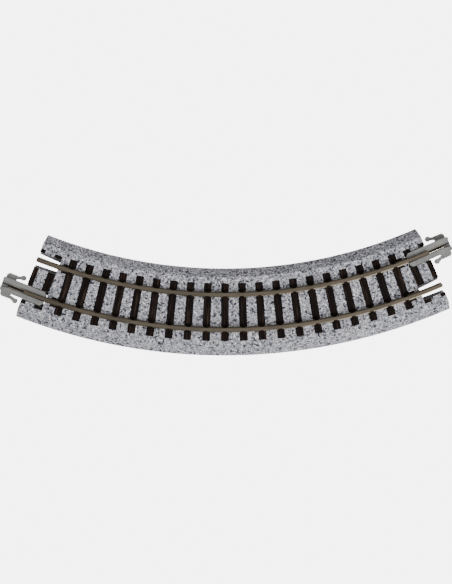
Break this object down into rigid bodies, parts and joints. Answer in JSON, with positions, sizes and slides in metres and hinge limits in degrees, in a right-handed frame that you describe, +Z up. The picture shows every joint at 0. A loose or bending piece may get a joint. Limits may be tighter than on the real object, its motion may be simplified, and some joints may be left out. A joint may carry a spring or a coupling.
{
  "type": "curved model railway track section",
  "caption": "Curved 9 mm gauge track section on a moulded ballast roadbed, with bent rails in moulded chairs and a clip-on rail joiner at each end.",
  "frame": {"origin": "on the underside, at the middle of the curve's centreline", "axes": "+Z up, +X along the chord between the ends, +Y from the middle of the curve towards its centre of curvature"},
  "size_m": [0.1288, 0.0355, 0.007],
  "materials": {
    "ballast_plastic": "light grey plastic with a granular ballast texture and dark and light speckles",
    "sleeper_plastic": "very dark brown plastic with fine wood grain",
    "rail_metal": "drawn nickel silver, slightly yellow",
    "contact_metal": "rolled nickel silver strip",
    "joiner_plastic": "smooth mid grey moulded plastic"
  },
  "bodies": {
    "roadbed": {"roadbed": "ballast_plastic", "sleeper_strip": "sleeper_plastic", "inner_rail": "rail_metal", "outer_rail": "rail_metal", "left_end_sleepers": "sleeper_plastic", "right_end_sleepers": "sleeper_plastic"},
    "left_joiner": {"left_joiner_housing": "joiner_plastic", "left_joiner_contact": "contact_metal"},
    "left_joiner_inner_latch": {"left_joiner_inner_latch": "joiner_plastic"},
    "left_joiner_outer_latch": {"left_joiner_outer_latch": "joiner_plastic"},
    "right_joiner": {"right_joiner_housing": "joiner_plastic", "right_joiner_contact": "contact_metal"},
    "right_joiner_inner_latch": {"right_joiner_inner_latch": "joiner_plastic"},
    "right_joiner_outer_latch": {"right_joiner_outer_latch": "joiner_plastic"}
  },
  "joints": [
    {"name": "left_joiner_slide", "type": "slide", "parent": "roadbed", "child": "left_joiner", "axis": [-0.9239, 0.3827, 0], "range_m": [0, 0.009]},
    {"name": "left_inner_latch_flex", "type": "hinge", "parent": "left_joiner", "child": "left_joiner_inner_latch", "pos_m": [-0.06133, 0.01082, 0.0031], "axis": [0, 0, 1], "range_deg": [-10, 0], "stiffness_Nm_per_rad": 0.005},
    {"name": "left_outer_latch_flex", "type": "hinge", "parent": "left_joiner", "child": "left_joiner_outer_latch", "pos_m": [-0.06355, 0.00546, 0.0031], "axis": [0, 0, 1], "range_deg": [0, 10], "stiffness_Nm_per_rad": 0.005},
    {"name": "right_joiner_slide", "type": "slide", "parent": "roadbed", "child": "right_joiner", "axis": [0.9239, 0.3827, 0], "range_m": [0, 0.009]},
    {"name": "right_inner_latch_flex", "type": "hinge", "parent": "right_joiner", "child": "right_joiner_inner_latch", "pos_m": [0.05754, 0.01998, 0.0031], "axis": [0, 0, 1], "range_deg": [0, 10], "stiffness_Nm_per_rad": 0.005},
    {"name": "right_outer_latch_flex", "type": "hinge", "parent": "right_joiner", "child": "right_joiner_outer_latch", "pos_m": [0.05976, 0.01462, 0.0031], "axis": [0, 0, 1], "range_deg": [-10, 0], "stiffness_Nm_per_rad": 0.005}
  ]
}
